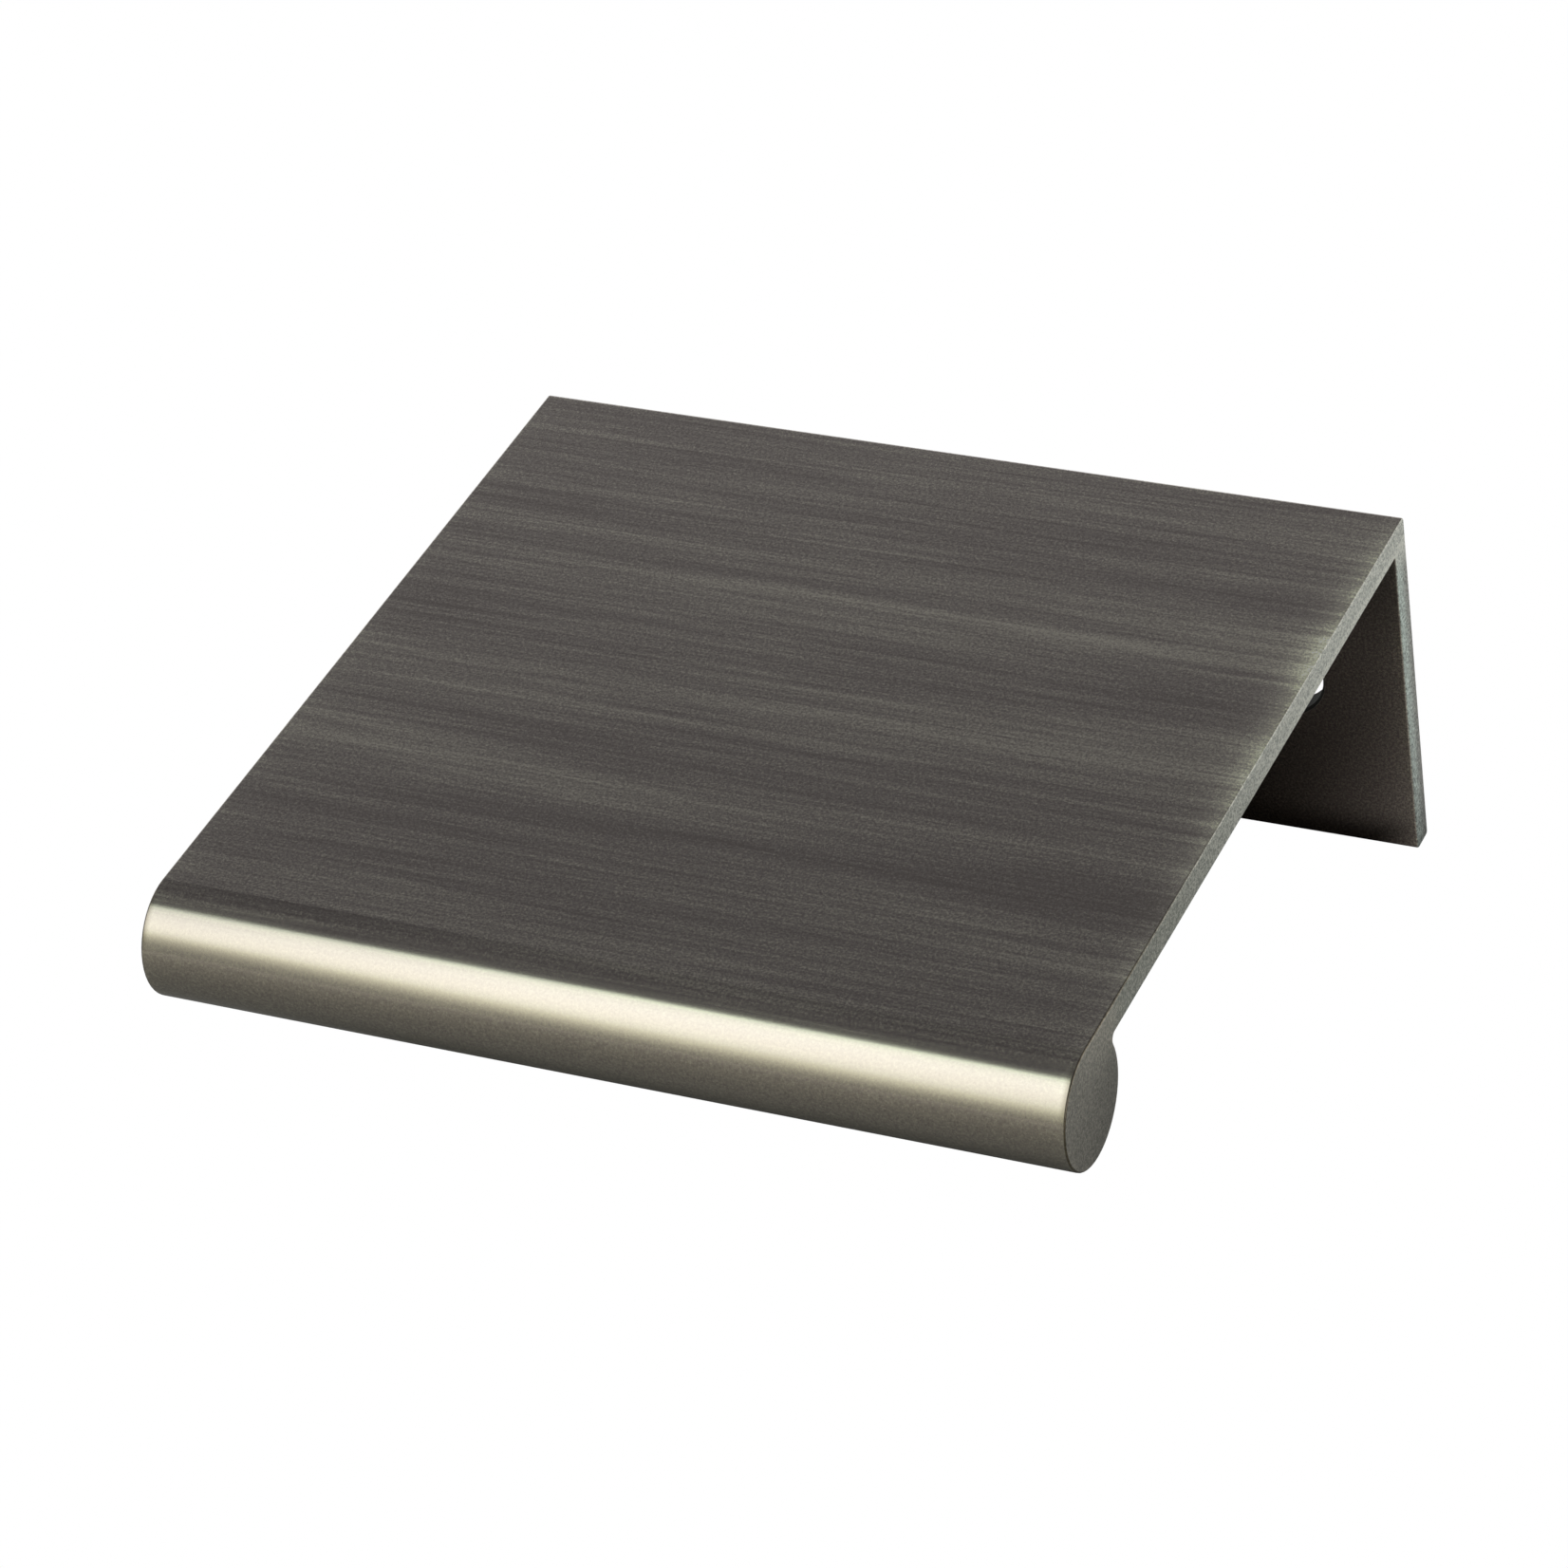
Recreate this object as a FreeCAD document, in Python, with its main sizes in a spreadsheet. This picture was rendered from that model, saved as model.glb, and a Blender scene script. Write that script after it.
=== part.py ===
# Cabinet tab pull: one aluminium extrusion, cut to length and drilled. Lengths are in millimetres.
# X runs along the extrusion, -Y is the front, where the fingers go, and +Z is up.
# The origin lies midway between the two screw holes, on the leg's mounting face.
import FreeCAD, Part
import math
import os
import Sketcher

OUTPUT_FOLDER = "parts"

# Name, value and meaning of every driving dimension.
DIMENSIONS = [
    ("length", 45.0, "along the extrusion, from end face to end face"),
    ("depth", 43.3, "from the front of the bead to the rear of the leg"),
    ("height", 18.8, "from the top face down to the leg's lower edge"),
    ("plate_thickness", 1.45, "top plate"),
    ("leg_thickness", 1.4, "mounting leg"),
    ("bead_diameter", 6.0, "round finger bead, its top level with the plate's top face"),
    ("hole_spacing", 32.0, "between the centres of the two screw holes"),
    ("hole_diameter", 4.5, "clearance for a wood screw"),
    ("hole_drop", 9.4, "from the top face down to the hole centres"),
    ("corner_round", 0.1, "inside corner between plate and leg, as the extrusion die leaves it"),
    ("bead_root_round", 0.3, "inside corner between plate and bead, as the extrusion die leaves it"),
    ("edge_round", 0.22, "long outside edges, as the extrusion die leaves them"),
    ("end_round", 0.1, "edges of the sawn end faces, broken by tumbling"),
    ("hole_chamfer", 0.12, "rims of the screw holes, deburred"),
]

# A round or a chamfer never takes more than its wall can give.
EDGE_LIMITS = [
    ("thinnest_wall", "=min(plate_thickness; leg_thickness)"),
    ("corner_round_used", "=min(corner_round; thinnest_wall / 3)"),
    ("bead_root_round_used", "=min(bead_root_round; plate_thickness / 3)"),
    ("edge_round_used", "=min(edge_round; thinnest_wall / 3)"),
    ("end_round_used", "=min(end_round; thinnest_wall / 4)"),
    ("hole_chamfer_used", "=min(hole_chamfer; leg_thickness / 4)"),
]


def make_sheet(doc):
    """The spreadsheet: one row for each driving dimension, then the limits worked out from them."""
    sheet = doc.addObject("Spreadsheet::Sheet", "Dimensions")
    rows = [(name, str(value), meaning) for name, value, meaning in DIMENSIONS]
    rows += [(name, formula, "") for name, formula in EDGE_LIMITS]
    for row, (name, content, meaning) in enumerate(rows, start=1):
        sheet.set("A%d" % row, name)
        sheet.set("B%d" % row, content)
        sheet.set("C%d" % row, meaning)
        sheet.setAlias("B%d" % row, name)
    doc.recompute()
    return sheet


class Section:
    """The lines and corners of the cross-section in the YZ plane, worked out from the sheet."""

    def __init__(self, sheet):
        self.radius = sheet.bead_diameter / 2
        self.top = sheet.hole_drop
        self.under = self.top - sheet.plate_thickness
        self.bottom = self.top - sheet.height
        self.rear = sheet.leg_thickness
        self.bead_y = self.rear - sheet.depth + self.radius
        self.bead_z = self.top - self.radius
        self.root_y = self.bead_y + math.sqrt(self.radius ** 2 - (self.under - self.bead_z) ** 2)

    def inside_corner(self):
        return [(0, self.under)]

    def bead_root(self):
        return [(self.root_y, self.under)]

    def outside_corners(self):
        return [(self.rear, self.top), (self.rear, self.bottom), (0, self.bottom)]


def origin_plane(body, role):
    """The body's own origin plane with this role, such as YZ_Plane."""
    for feature in body.Origin.OriginFeatures:
        if feature.Role == role:
            return feature
    raise RuntimeError("no origin plane " + role)


def new_sketch(body, name, role):
    sketch = body.newObject("Sketcher::SketchObject", name)
    sketch.AttachmentSupport = [(origin_plane(body, role), "")]
    sketch.MapMode = "FlatFace"
    return sketch


def add_line(sketch, start, end):
    line = Part.LineSegment(FreeCAD.Vector(*start, 0), FreeCAD.Vector(*end, 0))
    return sketch.addGeometry(line, False)


def relate(sketch, *constraint):
    return sketch.addConstraint(Sketcher.Constraint(*constraint))


def drive(sketch, name, formula, *constraint):
    """Adds a dimension to the sketch, names it and ties it to the spreadsheet."""
    index = relate(sketch, *constraint)
    sketch.renameConstraint(index, name)
    sketch.setExpression("Constraints." + name, formula)


def section_sketch(body, sheet):
    """Closed outline of the extrusion, seen along +X: plate, leg and bead in one line."""
    sketch = new_sketch(body, "SectionOutline", "YZ_Plane")
    at = Section(sheet)
    circle = Part.Circle(FreeCAD.Vector(at.bead_y, at.bead_z, 0), FreeCAD.Vector(0, 0, 1), at.radius)
    bead_start = circle.parameter(FreeCAD.Vector(at.bead_y, at.top, 0))
    bead_end = circle.parameter(FreeCAD.Vector(at.root_y, at.under, 0))

    top = add_line(sketch, (at.bead_y, at.top), (at.rear, at.top))
    rear = add_line(sketch, (at.rear, at.top), (at.rear, at.bottom))
    bottom = add_line(sketch, (at.rear, at.bottom), (0, at.bottom))
    inner = add_line(sketch, (0, at.bottom), (0, at.under))
    under = add_line(sketch, (0, at.under), (at.root_y, at.under))
    bead = sketch.addGeometry(Part.ArcOfCircle(circle, bead_start, bead_end), False)

    for line, following in ((top, rear), (rear, bottom), (bottom, inner), (inner, under)):
        relate(sketch, "Coincident", line, 2, following, 1)
    relate(sketch, "Coincident", under, 2, bead, 2)
    relate(sketch, "Tangent", bead, 1, top, 1)
    for line in (top, bottom, under):
        relate(sketch, "Horizontal", line)
    for line in (rear, inner):
        relate(sketch, "Vertical", line)
    vertical_axis = -2
    relate(sketch, "PointOnObject", inner, 1, vertical_axis)

    origin = (-1, 1)
    bead_centre = (bead, 3)
    drive(sketch, "leg_thickness", "Dimensions.leg_thickness",
          "DistanceX", bottom, 2, bottom, 1, at.rear)
    drive(sketch, "height", "Dimensions.height",
          "DistanceY", rear, 2, rear, 1, at.top - at.bottom)
    drive(sketch, "hole_drop", "Dimensions.hole_drop",
          "DistanceY", *origin, rear, 1, at.top)
    drive(sketch, "plate_thickness", "Dimensions.plate_thickness",
          "DistanceY", under, 1, top, 2, at.top - at.under)
    drive(sketch, "bead_diameter", "Dimensions.bead_diameter",
          "Diameter", bead, 2 * at.radius)
    drive(sketch, "depth_behind_bead", "Dimensions.depth - Dimensions.bead_diameter / 2",
          "DistanceX", *bead_centre, rear, 1, at.rear - at.bead_y)
    return sketch


def holes_sketch(body, sheet):
    """Two circles on the leg's mounting face, which lies in the body's XZ plane."""
    sketch = new_sketch(body, "ScrewHolePlaces", "XZ_Plane")
    upright = FreeCAD.Vector(0, 0, 1)
    half = sheet.hole_spacing / 2
    radius = sheet.hole_diameter / 2
    left = sketch.addGeometry(Part.Circle(FreeCAD.Vector(-half, 0, 0), upright, radius), False)
    right = sketch.addGeometry(Part.Circle(FreeCAD.Vector(half, 0, 0), upright, radius), False)
    horizontal_axis = -1
    relate(sketch, "PointOnObject", left, 3, horizontal_axis)
    relate(sketch, "Symmetric", left, 3, right, 3, -1, 1)
    relate(sketch, "Equal", left, right)
    drive(sketch, "hole_spacing", "Dimensions.hole_spacing",
          "DistanceX", left, 3, right, 3, sheet.hole_spacing)
    drive(sketch, "hole_diameter", "Dimensions.hole_diameter",
          "Diameter", left, sheet.hole_diameter)
    return sketch


def is_long_edge(edge, corners):
    """An edge along X through one of these corners of the section."""
    start = edge.Vertexes[0].Point
    end = edge.Vertexes[-1].Point
    if abs(start.y - end.y) > 1e-6 or abs(start.z - end.z) > 1e-6:
        return False
    return any(abs(start.y - y) < 1e-4 and abs(start.z - z) < 1e-4 for y, z in corners)


def is_end_edge(edge, half_length):
    """An edge in the plane of one of the two end faces."""
    return all(abs(abs(vertex.X) - half_length) < 1e-6 for vertex in edge.Vertexes) \
        and edge.BoundBox.XLength < 1e-6


def is_hole_rim(edge, half_spacing, radius):
    curve = edge.Curve
    if not isinstance(curve, Part.Circle) or abs(curve.Radius - radius) > 1e-6:
        return False
    return abs(abs(curve.Center.x) - half_spacing) < 1e-6 and abs(curve.Center.z) < 1e-6


def edge_names(feature, test, *values):
    return ["Edge%d" % number for number, edge in enumerate(feature.Shape.Edges, start=1)
            if test(edge, *values)]


def dress(body, kind, name, feature, edges, size_property, formula):
    """A fillet or a chamfer on the named edges of a feature."""
    if not edges:
        raise RuntimeError("no edges for " + name)
    result = body.newObject(kind, name)
    result.Base = (feature, edges)
    result.setExpression(size_property, formula)
    body.Document.recompute()
    return result


def extrude_section(body, sheet):
    """The section drawn out to its full length, as much to the left as to the right."""
    pad = body.newObject("PartDesign::Pad", "Extrusion")
    pad.Profile = section_sketch(body, sheet)
    pad.Midplane = True
    pad.setExpression("Length", "Dimensions.length")
    body.Document.recompute()
    return pad


def drill_holes(body, sheet):
    """Plain clearance holes, drilled through the leg from its mounting face."""
    places = holes_sketch(body, sheet)
    body.Document.recompute()
    hole = body.newObject("PartDesign::Hole", "ScrewHoles")
    hole.Profile = places
    hole.ThreadType = "None"
    hole.HoleCutType = "None"
    hole.DepthType = "ThroughAll"
    hole.DrillPoint = "Flat"
    hole.setExpression("Diameter", "Dimensions.hole_diameter")
    body.Document.recompute()
    return hole


def make_pull(doc, sheet):
    """The whole pull as one body, in the order in which it is made: extruded, sawn, tumbled, drilled."""
    body = doc.addObject("PartDesign::Body", "TabPull")
    body.Label = "tab_pull"
    body.Placement = FreeCAD.Placement()
    at = Section(sheet)

    pad = extrude_section(body, sheet)
    corner = dress(body, "PartDesign::Fillet", "CornerRound", pad,
                   edge_names(pad, is_long_edge, at.inside_corner()),
                   "Radius", "Dimensions.corner_round_used")
    root = dress(body, "PartDesign::Fillet", "BeadRootRound", corner,
                 edge_names(corner, is_long_edge, at.bead_root()),
                 "Radius", "Dimensions.bead_root_round_used")
    edges = dress(body, "PartDesign::Fillet", "EdgeRounds", root,
                  edge_names(root, is_long_edge, at.outside_corners()),
                  "Radius", "Dimensions.edge_round_used")
    ends = dress(body, "PartDesign::Fillet", "EndRounds", edges,
                 edge_names(edges, is_end_edge, sheet.length / 2),
                 "Radius", "Dimensions.end_round_used")
    holes = drill_holes(body, sheet)
    rims = edge_names(holes, is_hole_rim, sheet.hole_spacing / 2, sheet.hole_diameter / 2)
    chamfers = dress(body, "PartDesign::Chamfer", "HoleChamfers", holes, rims,
                     "Size", "Dimensions.hole_chamfer_used")
    body.Tip = chamfers
    doc.recompute()
    return body, [pad, corner, root, edges, ends, holes, chamfers]


def check(doc, body, steps):
    """Stops if a feature failed, if a step changed nothing, or if the result isn't one sound solid."""
    for thing in doc.Objects:
        if "Invalid" in thing.State or "Error" in thing.State:
            raise RuntimeError("%s failed: %s" % (thing.Label, thing.State))
    for earlier, later in zip(steps, steps[1:]):
        if abs(later.Shape.Volume - earlier.Shape.Volume) < 1e-6:
            raise RuntimeError(later.Label + " changed nothing")
    shape = body.Shape
    if shape.isNull() or not shape.isValid() or len(shape.Solids) != 1:
        raise RuntimeError(body.Label + " isn't one valid solid")


def main():
    doc = FreeCAD.newDocument("TabPull")
    sheet = make_sheet(doc)
    body, steps = make_pull(doc, sheet)
    check(doc, body, steps)
    os.makedirs(OUTPUT_FOLDER, exist_ok=True)
    body.Shape.exportStep(os.path.join(OUTPUT_FOLDER, body.Label + ".step"))
    for step in steps:
        print("%-14s %10.3f mm3" % (step.Label, step.Shape.Volume))
    box = body.Shape.optimalBoundingBox()
    print("size %.3f x %.3f x %.3f mm" % (box.XLength, box.YLength, box.ZLength))


main()
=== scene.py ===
"""Tab pull in brushed, plated aluminium: its finish, the white floor, the studio light and the camera."""
import math

import bpy
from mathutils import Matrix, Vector

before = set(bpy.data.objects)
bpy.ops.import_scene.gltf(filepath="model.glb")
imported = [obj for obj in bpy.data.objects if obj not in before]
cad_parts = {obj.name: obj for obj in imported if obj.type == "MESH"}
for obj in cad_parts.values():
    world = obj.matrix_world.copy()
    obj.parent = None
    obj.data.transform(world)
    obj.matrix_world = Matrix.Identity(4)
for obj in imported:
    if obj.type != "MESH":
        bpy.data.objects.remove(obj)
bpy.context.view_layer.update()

MM = 0.001
HERE = bpy.context.scene.collection

# Sizes of the pull in millimetres, in the frame of the model: X along the pull, Y to its rear, Z up
PULL_LENGTH = 45.0
END_X = PULL_LENGTH / 2
BEAD_RADIUS = 3.0
BEAD_AXIS = (0.0, -38.9, 6.4)
LEG_FOOT_Z = -9.4
LEG_FROM_Y = -1.0
HOLE_PLACE = 16.0
HOLE_RADIUS = 2.25
# Centre and half size of the plate and of the leg
PLATE_BOX = ((0.0, -18.75, 8.675), (22.5, 20.15, 0.725))
LEG_BOX = ((0.0, 0.7, 0.0), (22.5, 0.7, 9.4))

# Camera at the viewing angle of the photograph, in millimetres and degrees
CAMERA_PLACE = (107.54, -210.98, 167.76)
CAMERA_TURN = (53.09773, 7.20551, 24.14024)
CAMERA_LENS = 135.399
CAMERA_SENSOR = 36.0
CAMERA_NEAR = 5.0
CAMERA_FAR = 20000.0

camera_data = bpy.data.cameras.new("camera")
camera_data.lens = CAMERA_LENS
camera_data.sensor_width = CAMERA_SENSOR
camera_data.clip_start = CAMERA_NEAR * MM
camera_data.clip_end = CAMERA_FAR * MM
camera = bpy.data.objects.new("camera", camera_data)
camera.location = Vector(CAMERA_PLACE) * MM
camera.rotation_euler = [math.radians(angle) for angle in CAMERA_TURN]
HERE.objects.link(camera)
bpy.context.scene.camera = camera
bpy.context.scene.view_settings.view_transform = "Standard"
bpy.context.scene.view_settings.look = "None"


def colour(hex_value):
    """Linear colour with full alpha for an sRGB hex value."""
    parts = [int(hex_value[i:i + 2], 16) / 255 for i in (1, 3, 5)]
    linear = [p / 12.92 if p <= 0.04045 else ((p + 0.055) / 1.055) ** 2.4 for p in parts]
    return (*linear, 1.0)


def add(tree, kind, settings=None, links=None):
    """Adds a node.

    Settings name its properties or inputs, and links name inputs and the output that feeds each.
    """
    node = tree.nodes.new(kind)
    for name, value in (settings or {}).items():
        if isinstance(name, str) and hasattr(node, name):
            setattr(node, name, value)
        else:
            node.inputs[name].default_value = value
    for name, output in (links or {}).items():
        tree.links.new(output, node.inputs[name])
    return node


def between(fade, low=0.0, high=1.0):
    """Settings for a straight change from low to high over this fade."""
    return {"From Min": fade[0], "From Max": fade[1], "To Min": low, "To Max": high}


def smoothly(fade, low=0.0, high=1.0):
    """Settings for the same change with a soft start and a soft end."""
    return {"interpolation_type": "SMOOTHSTEP", **between(fade, low, high)}


def set_stops(ramp, stops):
    """Gives a colour ramp these stops, each a position and a linear colour."""
    elements = ramp.color_ramp.elements
    while len(elements) < len(stops):
        elements.new(0.5)
    for element, (position, value) in zip(elements, stops):
        element.position = position
        element.color = value


def new_material(name):
    """An empty material with its node tree."""
    material = bpy.data.materials.new(name)
    material.use_nodes = True
    material.node_tree.nodes.clear()
    return material, material.node_tree


# Finish of the pull. Sizes and places are in millimetres. A fade gives where a change starts and where it
# is complete, and a fade of faces goes by how far they are turned.
PLATE_ROUGHNESS = 0.22
BEAD_ROUGHNESS = 0.15
END_ROUGHNESS = 0.26
SHEEN_SPREAD = 0.5
MIDDLE_LEVEL = 0.5
BEAD_FADE = (-39.45, -40.45)
BRUSHED_FACES = (0.1, 0.6)
SAWN_FACES = (0.4, 0.95)
UNBRUSHED_SHARE = 0.05

# Brush marks. Real ones are about 0.02 mm wide and wouldn't show, so the finest are drawn wider. The widest
# are the uneven bands that the belt leaves.
BRUSHING = [
    # width, length, share of the tone
    (0.07, 3.5, 0.35),
    (0.16, 8.0, 0.72),
    (0.40, 15.0, 0.62),
    (1.00, 28.0, 0.45),
    (3.50, 60.0, 1.05),
]
BRUSH_DETAIL = 1.0
BRUSH_BREAKUP = 0.5

# Grain of the tumbled and plated metal, which is far finer than this and is drawn so coarse to show at all
GRAIN_SIZE = 0.14
GRAIN_SHARE = 2.5
GRAIN_DETAIL = 2.0
GRAIN_BREAKUP = 1.0
GRAIN_HEIGHT = 0.50
RELIEF_HEIGHT = 0.0008
BEAD_GRAIN = 0.15
BEAD_UNDER_GRAIN = 0.70
BEAD_UNDER_FACES = (0.55, 0.25)

# Plated metal, from the dark of a mark to its light
TONES = [
    (0.0, "#958d89"),
    (0.35, "#aaa29f"),
    (0.5, "#b3aca6"),
    (0.65, "#bdb7ae"),
    (1.0, "#ddd7cb"),
]
INNER_FACES = (-0.3, -0.7)
INNER_TINT = "#fff7f8"
INNER_GRAIN = 1.6
LEG_FRONT_FACES = (-0.5, -0.9)
# Painted shade on the front face of the leg, darker towards the corner under the plate
CORNER_FADE = (1.0, 7.5)
CORNER_PAINTED_SHADE = 0.45

# Painted highlight in a fringe beside the sawn ends, where a rolled edge would catch the light, with its
# gain in red, green and blue
FRINGE_REACH = 0.65
FRINGE_FRAYING = 0.7
FRINGE_HIGHLIGHT_GAIN = (1.75, 1.90, 1.68, 1.0)
FRINGE_ROUGHNESS = 0.30
FRINGE_LEFT = 0.10
FRINGE_RIGHT = [
    # place along Y, share
    (-41.0, 0.12),
    (-33.0, 0.24),
    (-26.0, 0.42),
    (-18.0, 0.80),
    (-11.0, 1.25),
    (-5.0, 0.85),
    (1.0, 0.20),
]

# Sawn end of the plate: plain metal with a painted highlight along its rim, and in its rear half a painted
# highlight along the lower edge and a lighter upper part, which is painted light as well
END_TONES = [
    (0.0, "#8d9089"),
    (0.5, "#afb1aa"),
    (1.0, "#d6d6cc"),
]
END_GRAIN = 2.7
RIM_FADE = (0.208, 0.078)
RIM_HIGHLIGHT_SHARE = 0.25
LOWER_EDGE_HIGHLIGHT_FADE = (8.48, 8.34)
LOWER_EDGE_HIGHLIGHT_SHARE = 0.48
UPPER_HIGHLIGHT_FADE = (8.55, 8.85)
UPPER_HIGHLIGHT_SHARE = 0.13
REAR_HALF_FADE = (-20.0, -13.0)

# Sawn end of the bead, lighter towards its top and its front as painted light
DISC_FADE = (-34.5, -36.5)
DISC_TINT = "#fff8f5"
DISC_GRAIN = 1.25
DISC_GRAIN_FADE = (-36.0, -34.0)
DISC_LIGHT_GAIN = (1.07, 1.27)
DISC_LIGHT_FADE = (BEAD_AXIS[2], 8.6)
DISC_SIDE_LIGHT = (1.27, 0.72)
DISC_SIDE_LIGHT_FADE = (-41.5, -36.5)
DISC_TOP_FADE = (6.6, 8.7)

# Sawn end of the leg, with a painted highlight along its inner edge and painted shade towards its foot
LEG_END_LIT_INNER = "#afbab3"
LEG_END_OUTER = "#888983"
LEG_END_FADE = (0.4, 1.1)
LEG_TOP_FADE = (8.2, 6.4)
LEG_GRAIN = 1.9
LEG_FOOT_FADE = (-3.0, LEG_FOOT_Z)
LEG_FOOT_SHADE = 0.84

# Painted shade that dims the highlight on the rounded edge of the sawn ends and the last of the bead's upper
# side
EDGE_SHADE_TONE = "#a39d93"
EDGE_SHARES = [
    # how far the edge is turned to the end, share
    (0.1, 0.0),
    (0.4, 1.0),
    (0.92, 1.0),
    (0.99, 0.0),
]
EDGE_FRONT_FADE = (-19.0, -34.0)
BEAD_END_FADE = (END_X - 0.4, END_X - 0.05)
BEAD_END_SHARE = 0.6
BEAD_END_FACES = (0.25, 0.55)

# Wall of the drilled holes: dull, and painted dark for the shade inside them
HOLE_SHADE_TONE = "#1c1b19"
HOLE_ROUGHNESS = 0.8
HOLE_FADE = (HOLE_RADIUS + 0.16, HOLE_RADIUS + 0.12)


def marks(tree, place, width, length, detail, breakup):
    """Brush marks or grain of this width and length, drawn out along the pull."""
    scale = (1 / length, 1 / width, 1 / width)
    spread = add(tree, "ShaderNodeMapping", {"Scale": scale}, {"Vector": place}).outputs["Vector"]
    settings = {"Scale": 1.0, "Detail": detail, "Roughness": breakup}
    return add(tree, "ShaderNodeTexNoise", settings, {"Vector": spread}).outputs["Fac"]


def brush_marks(tree, place):
    """Marks of every width in one, above zero where they are lighter and below zero where darker."""
    middle = sum(share for width, length, share in BRUSHING) / 2
    layers = None
    for width, length, share in BRUSHING:
        links = {0: marks(tree, place, width, length, BRUSH_DETAIL, BRUSH_BREAKUP)}
        if layers:
            links[2] = layers
        settings = {"operation": "MULTIPLY_ADD", 1: share, 2: 0.0}
        layers = add(tree, "ShaderNodeMath", settings, links).outputs["Value"]
    return add(tree, "ShaderNodeMath", {"operation": "SUBTRACT", 1: middle}, {0: layers}).outputs["Value"]


def section_depth(tree, place):
    """Depth below the outline of the section, which is plate, leg and bead."""
    flat = add(tree, "ShaderNodeVectorMath", {"operation": "MULTIPLY", 1: (0.0, 1.0, 1.0)},
               {0: place}).outputs["Vector"]
    away = add(tree, "ShaderNodeVectorMath", {"operation": "DISTANCE", 1: BEAD_AXIS},
               {0: flat}).outputs["Value"]
    depth = add(tree, "ShaderNodeMath", {"operation": "SUBTRACT", 0: BEAD_RADIUS},
                {1: away}).outputs["Value"]
    for centre, half in (PLATE_BOX, LEG_BOX):
        away = add(tree, "ShaderNodeVectorMath", {"operation": "SUBTRACT", 1: centre},
                   {0: flat}).outputs["Vector"]
        away = add(tree, "ShaderNodeVectorMath", {"operation": "ABSOLUTE"}, {0: away}).outputs["Vector"]
        left = add(tree, "ShaderNodeVectorMath", {"operation": "SUBTRACT", 0: half},
                   {1: away}).outputs["Vector"]
        sides = add(tree, "ShaderNodeSeparateXYZ", {}, {"Vector": left}).outputs
        inside = add(tree, "ShaderNodeMath", {"operation": "MINIMUM"},
                     {0: sides["Y"], 1: sides["Z"]}).outputs["Value"]
        depth = add(tree, "ShaderNodeMath", {"operation": "MAXIMUM"},
                    {0: depth, 1: inside}).outputs["Value"]
    return depth


def drawn_tone(tree, at, facing, outward, behind, bead, streaks, grain):
    """Tone of the faces that run along the pull: streaks and grain, and painted shade in the inner corner.
    """
    under = add(tree, "ShaderNodeMapRange", smoothly(BEAD_UNDER_FACES, BEAD_GRAIN, BEAD_UNDER_GRAIN),
                {"Value": facing["Z"]}).outputs["Result"]
    plain = add(tree, "ShaderNodeMapRange", between(INNER_FACES, 1.0, INNER_GRAIN),
                {"Value": outward}).outputs["Result"]
    keep = add(tree, "ShaderNodeMix", {"data_type": "FLOAT"}, {0: bead, 2: plain, 3: under}).outputs[0]
    speckle = add(tree, "ShaderNodeMath", {"operation": "MULTIPLY_ADD", 2: MIDDLE_LEVEL},
                  {0: grain, 1: keep}).outputs["Value"]
    level = add(tree, "ShaderNodeMath", {"operation": "ADD"}, {0: streaks, 1: speckle}).outputs["Value"]
    ramp = add(tree, "ShaderNodeValToRGB", {}, {"Fac": level})
    set_stops(ramp, [(stop, colour(value)) for stop, value in TONES])

    # The inner faces are a little browner than the brushed ones
    inner = add(tree, "ShaderNodeMapRange", between(INNER_FACES), {"Value": outward}).outputs["Result"]
    inner = add(tree, "ShaderNodeMath", {"operation": "SUBTRACT", "use_clamp": True},
                {0: inner, 1: bead}).outputs["Value"]
    tone = add(tree, "ShaderNodeMix",
               {"data_type": "RGBA", "blend_type": "MULTIPLY", 7: colour(INNER_TINT)},
               {0: inner, 6: ramp.outputs["Color"]}).outputs[2]

    # Painted shade: the front face of the leg darkens towards the corner between plate and leg
    corner = add(tree, "ShaderNodeMapRange", smoothly(CORNER_FADE, 0.0, -CORNER_PAINTED_SHADE),
                 {"Value": at["Z"]}).outputs["Result"]
    on_front = add(tree, "ShaderNodeMapRange", between(LEG_FRONT_FACES),
                   {"Value": facing["Y"]}).outputs["Result"]
    on_front = add(tree, "ShaderNodeMath", {"operation": "MULTIPLY"},
                   {0: on_front, 1: behind}).outputs["Value"]
    corner = add(tree, "ShaderNodeMath", {"operation": "MULTIPLY_ADD", 2: 1.0},
                 {0: corner, 1: on_front}).outputs["Value"]
    return add(tree, "ShaderNodeVectorMath", {"operation": "SCALE"},
               {0: tone, "Scale": corner}).outputs["Vector"]


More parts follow.
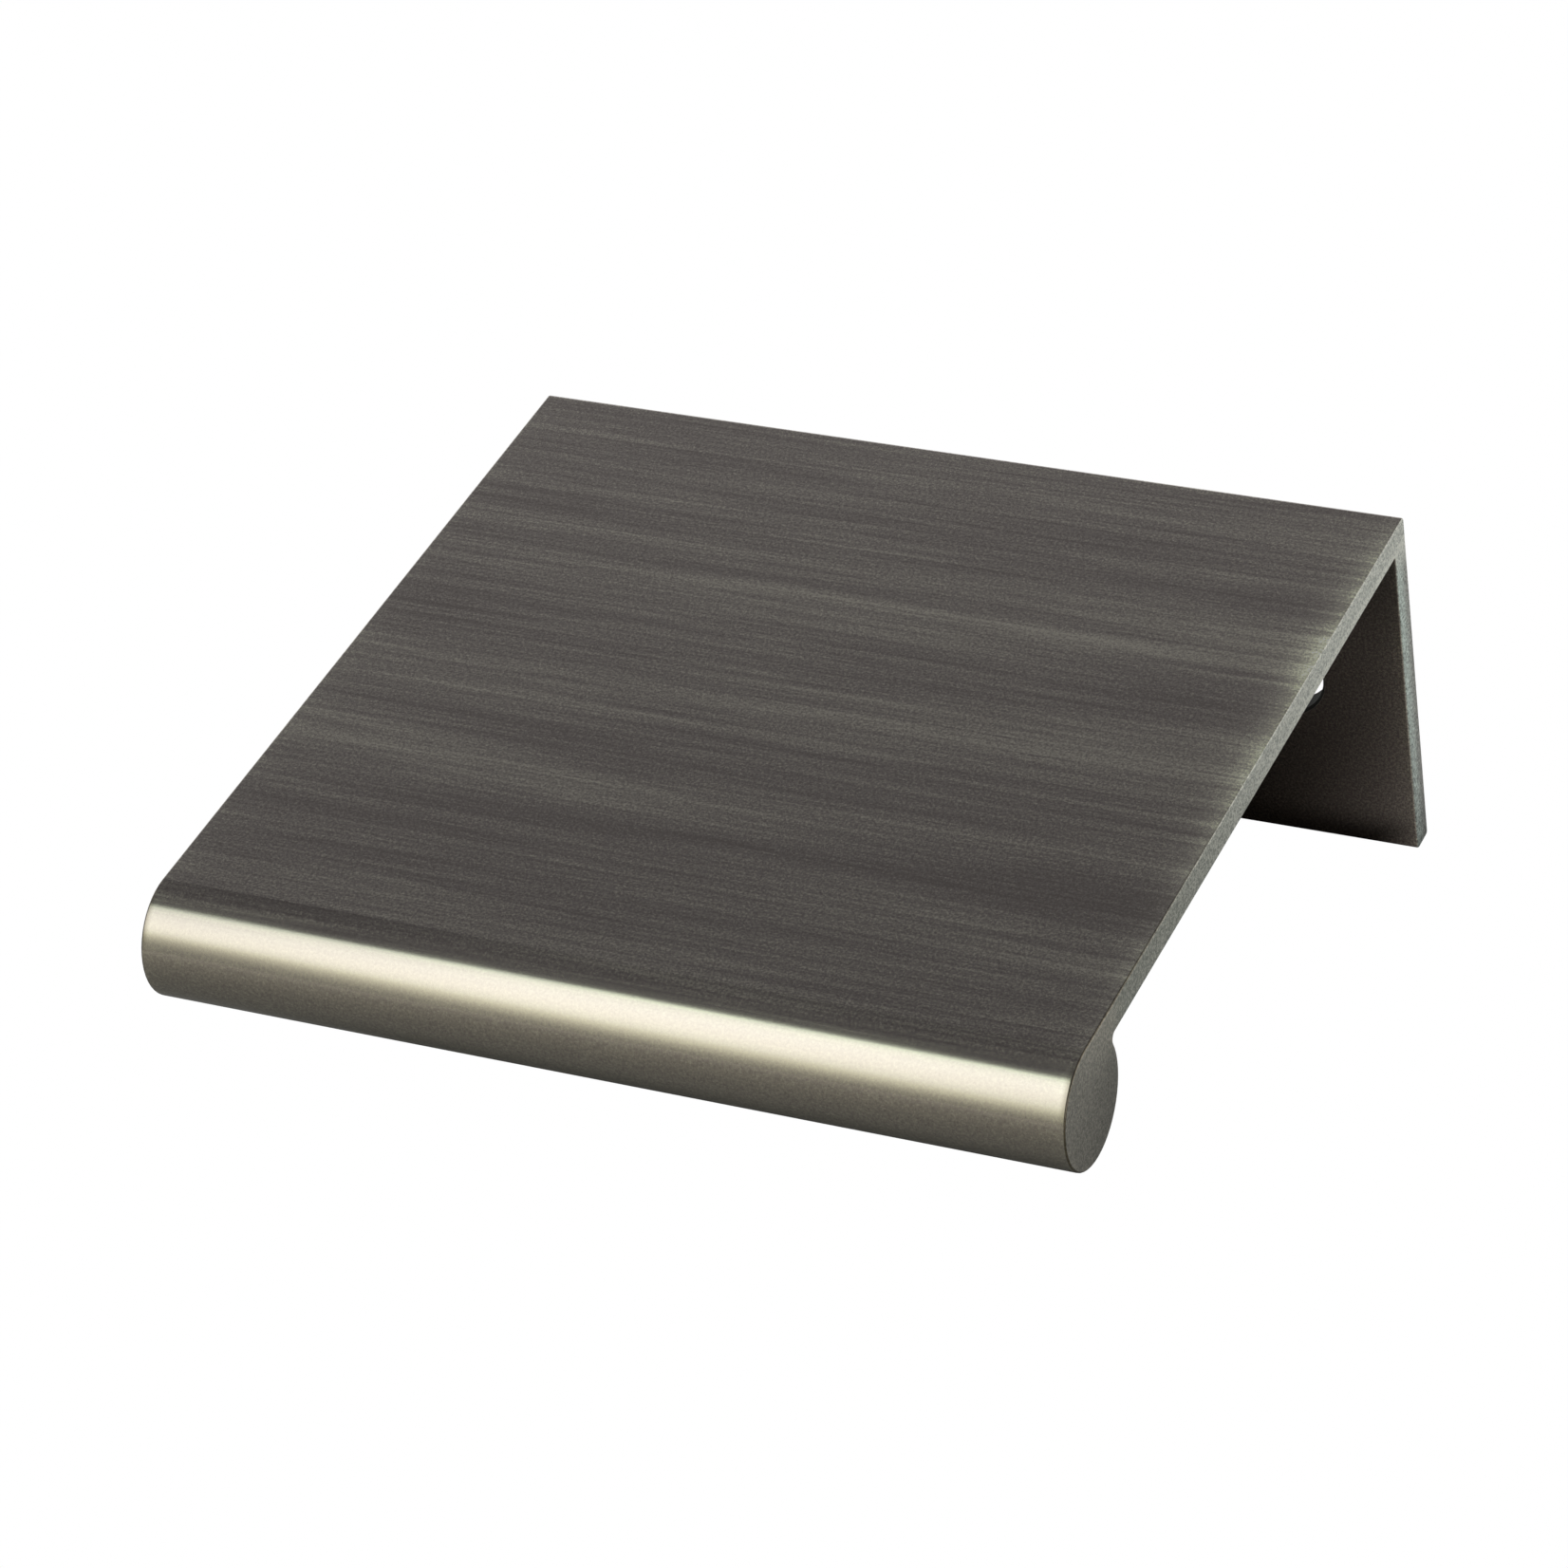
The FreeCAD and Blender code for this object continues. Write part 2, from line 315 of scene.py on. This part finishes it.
def fringe_highlight_share(tree, at, from_middle, swing):
    """Share of the painted highlight in the fringe, which fades inwards, frays with the marks and is most at
    the right.
    """
    frayed = add(tree, "ShaderNodeMath", {"operation": "MULTIPLY_ADD", 1: FRINGE_FRAYING},
                 {0: swing, 2: from_middle}).outputs["Value"]
    inward = add(tree, "ShaderNodeMath", {"operation": "SUBTRACT", 1: END_X}, {0: frayed}).outputs["Value"]
    inward = add(tree, "ShaderNodeMath", {"operation": "DIVIDE", 1: FRINGE_REACH},
                 {0: inward}).outputs["Value"]
    fade = add(tree, "ShaderNodeMath", {"operation": "EXPONENT"}, {0: inward}).outputs["Value"]
    first, last = FRINGE_RIGHT[0][0], FRINGE_RIGHT[-1][0]
    along = add(tree, "ShaderNodeMapRange", between((first, last)), {"Value": at["Y"]}).outputs["Result"]
    lit_along = add(tree, "ShaderNodeValToRGB", {}, {"Fac": along})
    set_stops(lit_along, [((y - first) / (last - first), (share, share, share, 1.0))
                       for y, share in FRINGE_RIGHT])
    on_right = add(tree, "ShaderNodeMath", {"operation": "GREATER_THAN", 1: 0.0},
                   {0: at["X"]}).outputs["Value"]
    most = add(tree, "ShaderNodeMix", {"data_type": "FLOAT", 2: FRINGE_LEFT},
               {0: on_right, 3: lit_along.outputs["Color"]}).outputs[0]
    return add(tree, "ShaderNodeMath", {"operation": "MULTIPLY", "use_clamp": True},
               {0: fade, 1: most}).outputs["Value"]


def sawn_tone(tree, place, at, behind, grain):
    """Tone of the sawn ends of plate, bead and leg, with painted highlights and shade."""
    # Painted highlights along the rim of the section, and in the rear half along the lower edge and over the
    # upper part
    rim = add(tree, "ShaderNodeMapRange", smoothly(RIM_FADE, MIDDLE_LEVEL, MIDDLE_LEVEL + RIM_HIGHLIGHT_SHARE),
              {"Value": section_depth(tree, place)}).outputs["Result"]
    lower_edge_highlight = add(tree, "ShaderNodeMapRange", between(LOWER_EDGE_HIGHLIGHT_FADE, 0.0, LOWER_EDGE_HIGHLIGHT_SHARE),
               {"Value": at["Z"]}).outputs["Result"]
    upper_highlight = add(tree, "ShaderNodeMapRange", between(UPPER_HIGHLIGHT_FADE, 0.0, UPPER_HIGHLIGHT_SHARE),
                {"Value": at["Z"]}).outputs["Result"]
    rear_highlights = add(tree, "ShaderNodeMath", {"operation": "ADD"}, {0: lower_edge_highlight, 1: upper_highlight}).outputs["Value"]
    rear_half = add(tree, "ShaderNodeMapRange", between(REAR_HALF_FADE),
                    {"Value": at["Y"]}).outputs["Result"]
    rim = add(tree, "ShaderNodeMath", {"operation": "MULTIPLY_ADD"},
              {0: rear_highlights, 1: rear_half, 2: rim}).outputs["Value"]
    coarse = add(tree, "ShaderNodeMapRange", between(DISC_GRAIN_FADE, DISC_GRAIN, END_GRAIN),
                 {"Value": at["Y"]}).outputs["Result"]
    level = add(tree, "ShaderNodeMath", {"operation": "MULTIPLY_ADD"},
                {0: grain, 1: coarse, 2: rim}).outputs["Value"]
    ramp = add(tree, "ShaderNodeValToRGB", {}, {"Fac": level})
    set_stops(ramp, [(stop, colour(value)) for stop, value in END_TONES])

    # The end of the bead is warmer, and painted light makes it lighter towards its top and lighter in front
    # than at its rear
    disc = add(tree, "ShaderNodeMapRange", between(DISC_FADE), {"Value": at["Y"]}).outputs["Result"]
    tone = add(tree, "ShaderNodeMix",
               {"data_type": "RGBA", "blend_type": "MULTIPLY", 7: colour(DISC_TINT)},
               {0: disc, 6: ramp.outputs["Color"]}).outputs[2]
    disc_light = add(tree, "ShaderNodeMapRange", between(DISC_LIGHT_FADE, *DISC_LIGHT_GAIN),
               {"Value": at["Z"]}).outputs["Result"]
    sides = add(tree, "ShaderNodeMapRange", between(DISC_SIDE_LIGHT_FADE, *DISC_SIDE_LIGHT),
                {"Value": at["Y"]}).outputs["Result"]
    near_top = add(tree, "ShaderNodeMapRange", between(DISC_TOP_FADE), {"Value": at["Z"]}).outputs["Result"]
    sides = add(tree, "ShaderNodeMix", {"data_type": "FLOAT", 3: 1.0}, {0: near_top, 2: sides}).outputs[0]
    disc_light = add(tree, "ShaderNodeMath", {"operation": "MULTIPLY"}, {0: disc_light, 1: sides}).outputs["Value"]
    disc_light = add(tree, "ShaderNodeMapRange", {"To Min": 1.0},
               {"Value": disc, "To Max": disc_light}).outputs["Result"]
    tone = add(tree, "ShaderNodeVectorMath", {"operation": "SCALE"},
               {0: tone, "Scale": disc_light}).outputs["Vector"]

    # The end of the leg has a painted highlight along its inner edge and painted shade towards its foot
    outer_side = add(tree, "ShaderNodeMapRange", smoothly(LEG_END_FADE),
                     {"Value": at["Y"]}).outputs["Result"]
    leg_tone = add(tree, "ShaderNodeMix",
                   {"data_type": "RGBA", 6: colour(LEG_END_LIT_INNER), 7: colour(LEG_END_OUTER)},
                   {0: outer_side}).outputs[2]
    foot_shade = add(tree, "ShaderNodeMapRange", between(LEG_FOOT_FADE, 1.0, LEG_FOOT_SHADE),
               {"Value": at["Z"]}).outputs["Result"]
    speckle = add(tree, "ShaderNodeMath", {"operation": "MULTIPLY_ADD", 1: LEG_GRAIN},
                  {0: grain, 2: foot_shade}).outputs["Value"]
    leg_tone = add(tree, "ShaderNodeVectorMath", {"operation": "SCALE"},
                   {0: leg_tone, "Scale": speckle}).outputs["Vector"]
    below = add(tree, "ShaderNodeMapRange", smoothly(LEG_TOP_FADE), {"Value": at["Z"]}).outputs["Result"]
    on_leg = add(tree, "ShaderNodeMath", {"operation": "MULTIPLY"}, {0: below, 1: behind}).outputs["Value"]
    return add(tree, "ShaderNodeMix", {"data_type": "RGBA"}, {0: on_leg, 6: tone, 7: leg_tone}).outputs[2]


def edge_shade_share(tree, at, facing, from_middle, across, bead, sawn):
    """Share of the painted shade on the ends' rounded edge in front and on the end of the bead's upper side.
    """
    turned = add(tree, "ShaderNodeValToRGB", {}, {"Fac": across})
    set_stops(turned, [(turn, (share, share, share, 1.0)) for turn, share in EDGE_SHARES])
    front = add(tree, "ShaderNodeMapRange", between(EDGE_FRONT_FADE), {"Value": at["Y"]}).outputs["Result"]
    turned = add(tree, "ShaderNodeMath", {"operation": "MULTIPLY"},
                 {0: turned.outputs["Color"], 1: front}).outputs["Value"]
    last = add(tree, "ShaderNodeMapRange", smoothly(BEAD_END_FADE, 0.0, BEAD_END_SHARE),
               {"Value": from_middle}).outputs["Result"]
    on_bead = add(tree, "ShaderNodeMath", {"operation": "SUBTRACT", "use_clamp": True},
                  {0: bead, 1: sawn}).outputs["Value"]
    last = add(tree, "ShaderNodeMath", {"operation": "MULTIPLY"}, {0: last, 1: on_bead}).outputs["Value"]
    upward = add(tree, "ShaderNodeMapRange", between(BEAD_END_FACES),
                 {"Value": facing["Z"]}).outputs["Result"]
    last = add(tree, "ShaderNodeMath", {"operation": "MULTIPLY"}, {0: last, 1: upward}).outputs["Value"]
    return add(tree, "ShaderNodeMath", {"operation": "MAXIMUM"}, {0: turned, 1: last}).outputs["Value"]


def hole_share(tree, at, from_middle):
    """1 on the walls of the two drilled holes and 0 elsewhere."""
    from_hole = add(tree, "ShaderNodeMath", {"operation": "SUBTRACT", 1: HOLE_PLACE},
                    {0: from_middle}).outputs["Value"]
    spot = add(tree, "ShaderNodeCombineXYZ", {}, {"X": from_hole, "Z": at["Z"]}).outputs["Vector"]
    radius = add(tree, "ShaderNodeVectorMath", {"operation": "LENGTH"}, {0: spot}).outputs["Value"]
    return add(tree, "ShaderNodeMapRange", between(HOLE_FADE), {"Value": radius}).outputs["Result"]


def brushed_plated_aluminium():
    """Extruded aluminium, sawn, tumbled, drilled, brushed along its length and plated with nickel.

    The brushing gives long streaks that run along the pull and a sheen that spreads across them. The plating
    gives a warm grey. The bead is smoother, the sawn ends are plain, grainy and a little duller, and the
    walls of the holes are dull and painted dark for the shade inside them. Highlights along the sawn ends
    and beside them, and shade in the inner corner, are painted too.
    """
    material, tree = new_material("brushed_plated_aluminium")
    place = add(tree, "ShaderNodeTexCoord").outputs["Object"]
    place = add(tree, "ShaderNodeVectorMath", {"operation": "SCALE", "Scale": 1 / MM},
                {0: place}).outputs["Vector"]
    at = add(tree, "ShaderNodeSeparateXYZ", {}, {"Vector": place}).outputs
    normal = add(tree, "ShaderNodeNewGeometry").outputs["Normal"]
    facing = add(tree, "ShaderNodeSeparateXYZ", {}, {"Vector": normal}).outputs
    from_middle = add(tree, "ShaderNodeMath", {"operation": "ABSOLUTE"}, {0: at["X"]}).outputs["Value"]
    behind = add(tree, "ShaderNodeMath", {"operation": "GREATER_THAN", 1: LEG_FROM_Y},
                 {0: at["Y"]}).outputs["Value"]

    # 1 on the bead, on the outer faces, which are brushed, and on the sawn ends
    bead = add(tree, "ShaderNodeMapRange", smoothly(BEAD_FADE), {"Value": at["Y"]}).outputs["Result"]
    outward = add(tree, "ShaderNodeMath", {"operation": "ADD"},
                  {0: facing["Y"], 1: facing["Z"]}).outputs["Value"]
    brushed = add(tree, "ShaderNodeMapRange", smoothly(BRUSHED_FACES, UNBRUSHED_SHARE, 1.0),
                  {"Value": outward}).outputs["Result"]
    across = add(tree, "ShaderNodeMath", {"operation": "ABSOLUTE"}, {0: facing["X"]}).outputs["Value"]
    sawn = add(tree, "ShaderNodeMapRange", smoothly(SAWN_FACES), {"Value": across}).outputs["Result"]

    swing = brush_marks(tree, place)
    streaks = add(tree, "ShaderNodeMath", {"operation": "MULTIPLY"}, {0: swing, 1: brushed}).outputs["Value"]
    grain = marks(tree, place, GRAIN_SIZE, GRAIN_SIZE, GRAIN_DETAIL, GRAIN_BREAKUP)
    grain = add(tree, "ShaderNodeMath", {"operation": "MULTIPLY_ADD", 1: GRAIN_SHARE, 2: -GRAIN_SHARE / 2},
                {0: grain}).outputs["Value"]

    # The fringe beside the ends is a painted highlight, a little rougher than the rest
    fringe = fringe_highlight_share(tree, at, from_middle, swing)
    drawn = add(tree, "ShaderNodeMix", {"data_type": "RGBA", "blend_type": "MULTIPLY", 7: FRINGE_HIGHLIGHT_GAIN},
                {0: fringe, 6: drawn_tone(tree, at, facing, outward, behind, bead, streaks, grain)})
    surface = add(tree, "ShaderNodeMix", {"data_type": "RGBA"},
                  {0: sawn, 6: drawn.outputs[2], 7: sawn_tone(tree, place, at, behind, grain)}).outputs[2]
    # Painted shade that dims the highlights on the rounded edges and the bead's ends
    edge_shade = edge_shade_share(tree, at, facing, from_middle, across, bead, sawn)
    surface = add(tree, "ShaderNodeMix",
                  {"data_type": "RGBA", "blend_type": "MULTIPLY", 7: colour(EDGE_SHADE_TONE)},
                  {0: edge_shade, 6: surface}).outputs[2]
    hole = hole_share(tree, at, from_middle)
    surface = add(tree, "ShaderNodeMix", {"data_type": "RGBA", 7: colour(HOLE_SHADE_TONE)},
                  {0: hole, 6: surface}).outputs[2]

    rough = add(tree, "ShaderNodeMapRange", {"To Min": PLATE_ROUGHNESS, "To Max": BEAD_ROUGHNESS},
                {"Value": bead}).outputs["Result"]
    rough = add(tree, "ShaderNodeMath", {"operation": "MULTIPLY_ADD", 1: FRINGE_ROUGHNESS},
                {0: fringe, 2: rough}).outputs["Value"]
    rough = add(tree, "ShaderNodeMapRange", {"To Max": END_ROUGHNESS},
                {"Value": sawn, "To Min": rough}).outputs["Result"]
    rough = add(tree, "ShaderNodeMapRange", {"To Max": HOLE_ROUGHNESS},
                {"Value": hole, "To Min": rough}).outputs["Result"]
    metal = add(tree, "ShaderNodeMath", {"operation": "SUBTRACT", 0: 1.0}, {1: hole}).outputs["Value"]
    relief = add(tree, "ShaderNodeMath", {"operation": "MULTIPLY_ADD", 1: GRAIN_HEIGHT},
                 {0: grain, 2: streaks}).outputs["Value"]
    bump = add(tree, "ShaderNodeBump", {"Strength": 1.0, "Distance": RELIEF_HEIGHT * MM},
               {"Height": relief}).outputs["Normal"]
    around = add(tree, "ShaderNodeTangent", {"direction_type": "RADIAL", "axis": "X"}).outputs["Tangent"]
    shader = add(tree, "ShaderNodeBsdfPrincipled", {"Anisotropic": SHEEN_SPREAD},
                 {"Base Color": surface, "Metallic": metal, "Roughness": rough, "Normal": bump,
                  "Tangent": around})
    add(tree, "ShaderNodeOutputMaterial", {}, {"Surface": shader.outputs["BSDF"]})
    return material


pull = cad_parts["tab_pull"]
finish = brushed_plated_aluminium()
for slot in pull.material_slots:
    slot.material = finish


def card(name, points, faces, material, seen_by_camera, seen_in_metal):
    """A sheet of the studio set, which is no part of the pull."""
    mesh = bpy.data.meshes.new(name)
    mesh.from_pydata([Vector(p) * MM for p in points], [], faces)
    mesh.materials.append(material)
    sheet = bpy.data.objects.new(name, mesh)
    sheet.visible_camera = seen_by_camera
    sheet.visible_glossy = seen_in_metal
    HERE.objects.link(sheet)
    return sheet


# Half the width of the floor and of the table, and how far each lies below the foot of the leg
SET_HALF = 4000.0
FLOOR_DROP = 0.6
TABLE_DROP = 0.3


def wide_square(drop):
    """Corners of a level square of the set that lies this far below the foot of the leg."""
    turns = ((-1, -1), (1, -1), (1, 1), (-1, 1))
    return [(x * SET_HALF, y * SET_HALF, LEG_FOOT_Z - drop) for x, y in turns]


def white_paper():
    """White background paper, rolled out and lit until the eye sees no grain or shadow in it."""
    material, tree = new_material("white_paper")
    glow = add(tree, "ShaderNodeEmission", {"Color": colour("#ffffff"), "Strength": 1.0}).outputs["Emission"]
    clear = add(tree, "ShaderNodeBsdfTransparent").outputs["BSDF"]
    underside = add(tree, "ShaderNodeNewGeometry").outputs["Backfacing"]
    sheet = add(tree, "ShaderNodeMixShader", {}, {0: underside, 1: glow, 2: clear}).outputs["Shader"]
    add(tree, "ShaderNodeOutputMaterial", {}, {"Surface": sheet})
    return material


# White floor that only the camera sees, and only from above
floor = card("floor", wide_square(FLOOR_DROP), [(0, 1, 2, 3)], white_paper(), True, False)
floor.visible_diffuse = False
floor.visible_shadow = False

# Table that only the metal mirrors: its tone from front to rear, darker near the pull as painted shade,
# a painted shadow under the pull, and the darkest painted shadow in a strip under the foot of the leg
TABLE_TONES = [
    # place along Y, colour
    (-300.0, "#c8c5bf"),
    (-228.0, "#c0bdb6"),
    (-81.0, "#a2a099"),
    (-45.0, "#81817e"),
    (-30.0, "#797979"),
    (-21.0, "#9b9b9b"),
    (-16.0, "#b8b8b6"),
    (-6.0, "#c4c4c2"),
    (5.0, "#e7e7e6"),
    (20.0, "#f1f1f1"),
]
SHADE_TONE = "#3c3a38"
SHADE_CENTRE = (0.0, 3.0, 0.0)
SHADE_RADII = (24.5, 31.0, 100.0)
SHADE_FADE = (0.54, 1.0)
FOOT_SHADOW_TONE = "#2f2d2c"
FOOT_SIDE_FADE = (20.0, 23.0)
FOOT_FRONT_FADE = (1.2, 2.8)


def painted_board():
    """Board rolled with matt paint, which gives no gloss, with the shadows of the pull painted on it."""
    material, tree = new_material("painted_board")
    place = add(tree, "ShaderNodeTexCoord").outputs["Object"]
    place = add(tree, "ShaderNodeVectorMath", {"operation": "SCALE", "Scale": 1 / MM},
                {0: place}).outputs["Vector"]
    at = add(tree, "ShaderNodeSeparateXYZ", {}, {"Vector": place}).outputs
    first, last = TABLE_TONES[0][0], TABLE_TONES[-1][0]
    share = add(tree, "ShaderNodeMapRange", between((first, last)), {"Value": at["Y"]}).outputs["Result"]
    ramp = add(tree, "ShaderNodeValToRGB", {}, {"Fac": share})
    set_stops(ramp, [((y - first) / (last - first), colour(value)) for y, value in TABLE_TONES])
    scale = [1 / radius for radius in SHADE_RADII]
    offset = [-centre * share for centre, share in zip(SHADE_CENTRE, scale)]
    oval = add(tree, "ShaderNodeMapping", {"Location": offset, "Scale": scale},
               {"Vector": place}).outputs["Vector"]
    distance = add(tree, "ShaderNodeVectorMath", {"operation": "LENGTH"}, {0: oval}).outputs["Value"]
    lit = add(tree, "ShaderNodeMapRange", between(SHADE_FADE), {"Value": distance}).outputs["Result"]
    tone = add(tree, "ShaderNodeMix", {"data_type": "RGBA", 6: colour(SHADE_TONE)},
               {0: lit, 7: ramp.outputs["Color"]}).outputs[2]
    beside = add(tree, "ShaderNodeMath", {"operation": "ABSOLUTE"}, {0: at["X"]}).outputs["Value"]
    beside = add(tree, "ShaderNodeMapRange", between(FOOT_SIDE_FADE), {"Value": beside}).outputs["Result"]
    before = add(tree, "ShaderNodeMath", {"operation": "ABSOLUTE"}, {0: at["Y"]}).outputs["Value"]
    before = add(tree, "ShaderNodeMapRange", between(FOOT_FRONT_FADE), {"Value": before}).outputs["Result"]
    clear = add(tree, "ShaderNodeMath", {"operation": "MAXIMUM"}, {0: beside, 1: before}).outputs["Value"]
    tone = add(tree, "ShaderNodeMix", {"data_type": "RGBA", 6: colour(FOOT_SHADOW_TONE)},
               {0: clear, 7: tone}).outputs[2]
    matt = add(tree, "ShaderNodeBsdfDiffuse", {}, {"Color": tone}).outputs["BSDF"]
    add(tree, "ShaderNodeOutputMaterial", {}, {"Surface": matt})
    return material


card("table", wide_square(TABLE_DROP), [(0, 1, 2, 3)], painted_board(), False, True)

# Soft overhead light for the table alone
OVERHEAD_SIZE = 1000.0
OVERHEAD_HEIGHT = 1200.0
OVERHEAD_WATTS = 6.7

overhead_data = bpy.data.lights.new("overhead", "AREA")
overhead_data.size = OVERHEAD_SIZE * MM
overhead_data.energy = OVERHEAD_WATTS
overhead = bpy.data.objects.new("overhead", overhead_data)
overhead.location = (0.0, 0.0, OVERHEAD_HEIGHT * MM)
overhead.visible_glossy = False
overhead.visible_camera = False
HERE.objects.link(overhead)

# Curved softbox from above the pull to its front. Angles are in degrees from straight above.
SOFTBOX_RADIUS = 600.0
SOFTBOX_HALF = 900.0
SOFTBOX_FROM = 12.0
SOFTBOX_TO = 93.0
SOFTBOX_STEPS = 27
SOFTBOX_TURN = -9.5
SOFTBOX_FALL = [
    # angle, colour as a share of the brightest light
    (12.0, "#424242"),
    (16.0, "#424242"),
    (18.5, "#ebfde6"),
    (24.0, "#f9fef2"),
    (35.0, "#fbfdf5"),
    (50.0, "#fafbf0"),
    (62.0, "#e9ebdc"),
    (69.0, "#cfd1ba"),
    (76.0, "#aaaa99"),
    (86.0, "#7e7e73"),
    (93.0, "#717169"),
]
BRIGHTEST = 2.31
# Place and spread of the lamp behind the sheet, along X
LAMP_PLACE = -190.0
LAMP_SPREAD = 230.0
# The light falls off sooner at the lower left, by this angle
SLANT_ANGLE = 11.0
SLANT_SIDE_FADE = (-165.0, -275.0)
SLANT_LOW_FADE = (52.0, 74.0)
# The whole light leans, by this angle over this length along X, about this place
LEAN_ANGLE = 1.8
LEAN_LENGTH = 123.0
LEAN_PLACE = -250.0


def white_nylon():
    """Woven white nylon in front of the lamp, which spreads its light. It is bright above and dim below."""
    material, tree = new_material("white_nylon")
    place = add(tree, "ShaderNodeTexCoord").outputs["Object"]
    at = add(tree, "ShaderNodeSeparateXYZ", {}, {"Vector": place}).outputs
    forward = add(tree, "ShaderNodeMath", {"operation": "MULTIPLY", 1: -1.0}, {0: at["Y"]}).outputs["Value"]
    angle = add(tree, "ShaderNodeMath", {"operation": "ARCTAN2"}, {0: forward, 1: at["Z"]}).outputs["Value"]
    side_fade = [x * MM for x in SLANT_SIDE_FADE]
    slant = add(tree, "ShaderNodeMapRange", smoothly(side_fade, 0.0, math.radians(SLANT_ANGLE)),
                {"Value": at["X"]}).outputs["Result"]
    low_fade = [math.radians(degrees) for degrees in SLANT_LOW_FADE]
    low = add(tree, "ShaderNodeMapRange", smoothly(low_fade), {"Value": angle}).outputs["Result"]
    angle = add(tree, "ShaderNodeMath", {"operation": "MULTIPLY_ADD"},
                {0: slant, 1: low, 2: angle}).outputs["Value"]
    lean_rate = math.radians(LEAN_ANGLE) / LEAN_LENGTH
    lean = add(tree, "ShaderNodeMath",
               {"operation": "MULTIPLY_ADD", 1: -lean_rate / MM, 2: lean_rate * LEAN_PLACE},
               {0: at["X"]}).outputs["Value"]
    angle = add(tree, "ShaderNodeMath", {"operation": "ADD"}, {0: angle, 1: lean}).outputs["Value"]
    arc_ends = (math.radians(SOFTBOX_FROM), math.radians(SOFTBOX_TO))
    share = add(tree, "ShaderNodeMapRange", between(arc_ends), {"Value": angle}).outputs["Result"]
    ramp = add(tree, "ShaderNodeValToRGB", {}, {"Fac": share})
    span = SOFTBOX_TO - SOFTBOX_FROM
    set_stops(ramp, [((degrees - SOFTBOX_FROM) / span, colour(value)) for degrees, value in SOFTBOX_FALL])

    # The brightness falls off with the square of the distance from the lamp, taken in spreads
    away = add(tree, "ShaderNodeMath", {"operation": "SUBTRACT", 1: LAMP_PLACE * MM},
               {0: at["X"]}).outputs["Value"]
    away = add(tree, "ShaderNodeMath", {"operation": "DIVIDE", 1: LAMP_SPREAD * MM},
               {0: away}).outputs["Value"]
    square = add(tree, "ShaderNodeMath", {"operation": "POWER", 1: 2.0}, {0: away}).outputs["Value"]
    under = add(tree, "ShaderNodeMath", {"operation": "ADD", 1: 1.0}, {0: square}).outputs["Value"]
    strength = add(tree, "ShaderNodeMath", {"operation": "DIVIDE", 0: BRIGHTEST},
                   {1: under}).outputs["Value"]
    glow = add(tree, "ShaderNodeEmission", {}, {"Color": ramp.outputs["Color"], "Strength": strength})
    add(tree, "ShaderNodeOutputMaterial", {}, {"Surface": glow.outputs["Emission"]})
    return material


arc_span = SOFTBOX_TO - SOFTBOX_FROM
arc = [math.radians(SOFTBOX_FROM + arc_span * i / SOFTBOX_STEPS) for i in range(SOFTBOX_STEPS + 1)]
sheet_points = [(side * SOFTBOX_HALF, -SOFTBOX_RADIUS * math.sin(a), SOFTBOX_RADIUS * math.cos(a))
                for a in arc for side in (-1, 1)]
strips = [(2 * i, 2 * i + 1, 2 * i + 3, 2 * i + 2) for i in range(SOFTBOX_STEPS)]
softbox = card("softbox", sheet_points, strips, white_nylon(), False, True)
softbox.location = Vector(BEAD_AXIS) * MM
softbox.rotation_euler = (0.0, 0.0, math.radians(SOFTBOX_TURN))

# Dim studio round the pull, white where the camera looks past it. In the metal it is lightest at the horizon
# and falls to the ceiling, which starts higher on the right and is a little lighter on the left. Fades are
# in shares of the direction along X or Z.
HORIZON_LIGHT = 1.30
CEILING_LIGHT = 0.101
LEFT_CEILING_FROM = 0.59
RIGHT_CEILING_FROM = 0.607
RIGHT_CEILING_FADE = (-0.41, -0.35)
LEFT_LIGHT = 0.022
LEFT_LIGHT_FADE = (-0.34, -0.50)
ZENITH_LIGHT = 0.035
ZENITH_FADE = (0.64, 0.85)

world = bpy.data.worlds.new("studio")
world.use_nodes = True
bpy.context.scene.world = world
studio = world.node_tree
studio.nodes.clear()
direction = add(studio, "ShaderNodeTexCoord").outputs["Generated"]
towards = add(studio, "ShaderNodeSeparateXYZ", {}, {"Vector": direction}).outputs
ceiling = add(studio, "ShaderNodeMapRange",
              smoothly(LEFT_LIGHT_FADE, CEILING_LIGHT, CEILING_LIGHT + LEFT_LIGHT),
              {"Value": towards["X"]}).outputs["Result"]
ceiling_from = add(studio, "ShaderNodeMapRange",
                   between(RIGHT_CEILING_FADE, LEFT_CEILING_FROM, RIGHT_CEILING_FROM),
                   {"Value": towards["X"]}).outputs["Result"]
light = add(studio, "ShaderNodeMapRange", {"From Min": 0.0, "To Min": HORIZON_LIGHT},
            {"Value": towards["Z"], "From Max": ceiling_from, "To Max": ceiling}).outputs["Result"]
zenith = add(studio, "ShaderNodeMapRange", between(ZENITH_FADE, 0.0, ZENITH_LIGHT),
             {"Value": towards["Z"]}).outputs["Result"]
light = add(studio, "ShaderNodeMath", {"operation": "ADD"}, {0: light, 1: zenith}).outputs["Value"]
seen = add(studio, "ShaderNodeLightPath").outputs["Is Camera Ray"]
light = add(studio, "ShaderNodeMix", {"data_type": "FLOAT", 3: 1.0}, {0: seen, 2: light}).outputs[0]
sky = add(studio, "ShaderNodeBackground", {"Strength": 1.0}, {"Color": light}).outputs["Background"]
add(studio, "ShaderNodeOutputWorld", {}, {"Surface": sky})
